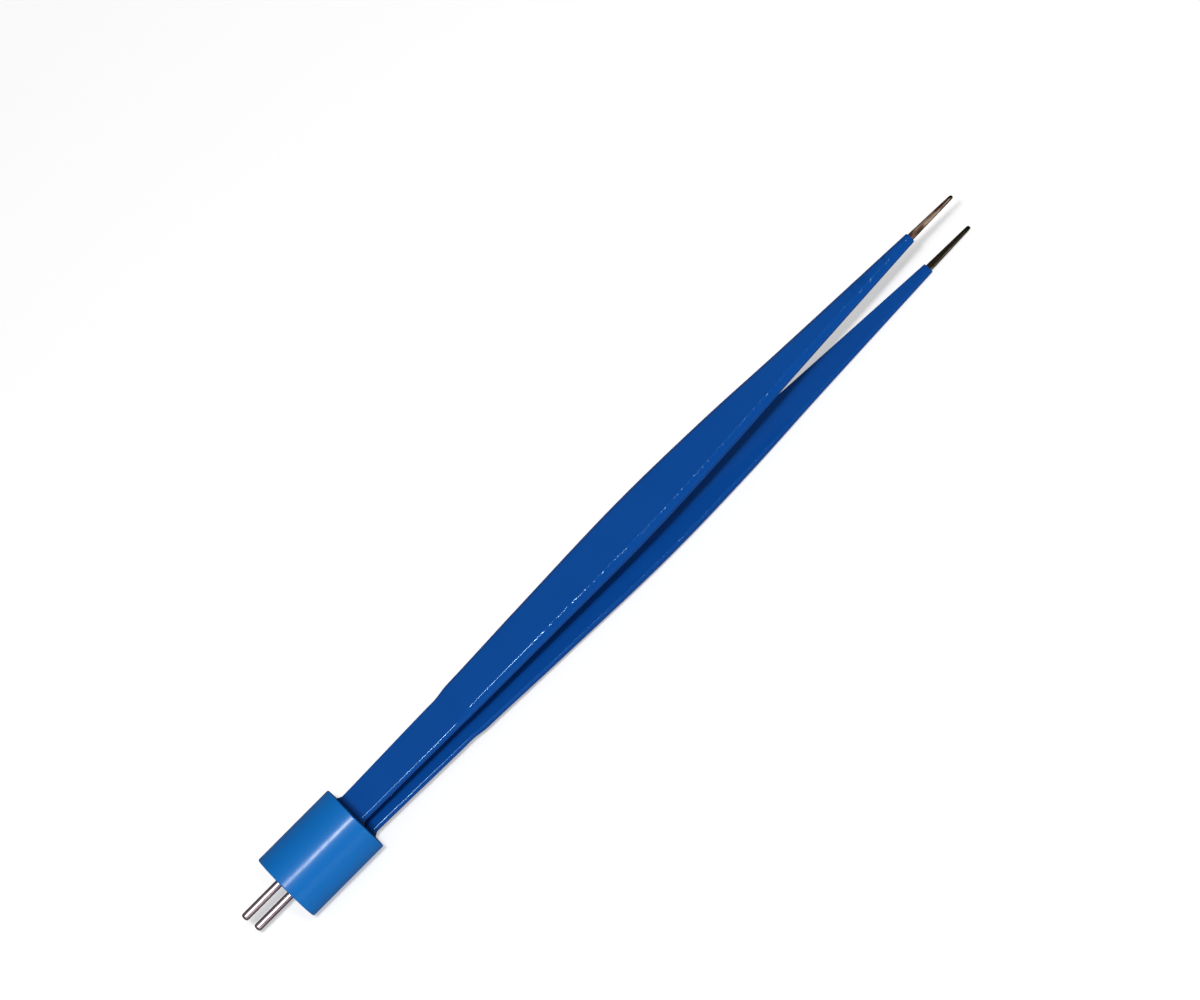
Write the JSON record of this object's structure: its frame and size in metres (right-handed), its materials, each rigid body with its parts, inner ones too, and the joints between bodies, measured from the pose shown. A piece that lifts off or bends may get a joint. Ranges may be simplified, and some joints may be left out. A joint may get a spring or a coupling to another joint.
{
  "type": "bipolar forceps",
  "caption": "Straight bipolar forceps: two insulated spring arms with bare fine tips, held in a round moulded plug with two contact pins.",
  "frame": {"origin": "centre of the plug's flat rear face, on the axis of the forceps", "axes": "+X from the plug to the tips, +Y across the width of the arms, +Z the direction in which the arms open, from the lower arm to the upper arm"},
  "size_m": [0.1952, 0.0152, 0.0158],
  "materials": {
    "plug_moulding": "glossy mid-blue moulding",
    "pin_metal": "bright plated, turned",
    "blade_steel": "satin stainless steel, ground tips",
    "arm_coating": "satin dark blue insulating coat, slightly bumpy along its edges"
  },
  "bodies": {
    "plug": {"plug_body": "plug_moulding", "upper_pin": "pin_metal", "lower_pin": "pin_metal"},
    "upper_arm": {"upper_blade": "blade_steel", "upper_coating": "arm_coating"},
    "lower_arm": {"lower_blade": "blade_steel", "lower_coating": "arm_coating"}
  },
  "joints": [
    {"name": "upper_arm_squeeze", "type": "hinge", "parent": "plug", "child": "upper_arm", "pos_m": [0.0135, 0, 0.00317], "axis": [0, 1, 0], "range_deg": [0, 2.13], "stiffness_Nm_per_rad": 2.3},
    {"name": "lower_arm_squeeze", "type": "hinge", "parent": "plug", "child": "lower_arm", "pos_m": [0.0135, 0, -0.00317], "axis": [0, -1, 0], "range_deg": [0, 2.13], "stiffness_Nm_per_rad": 2.3}
  ]
}
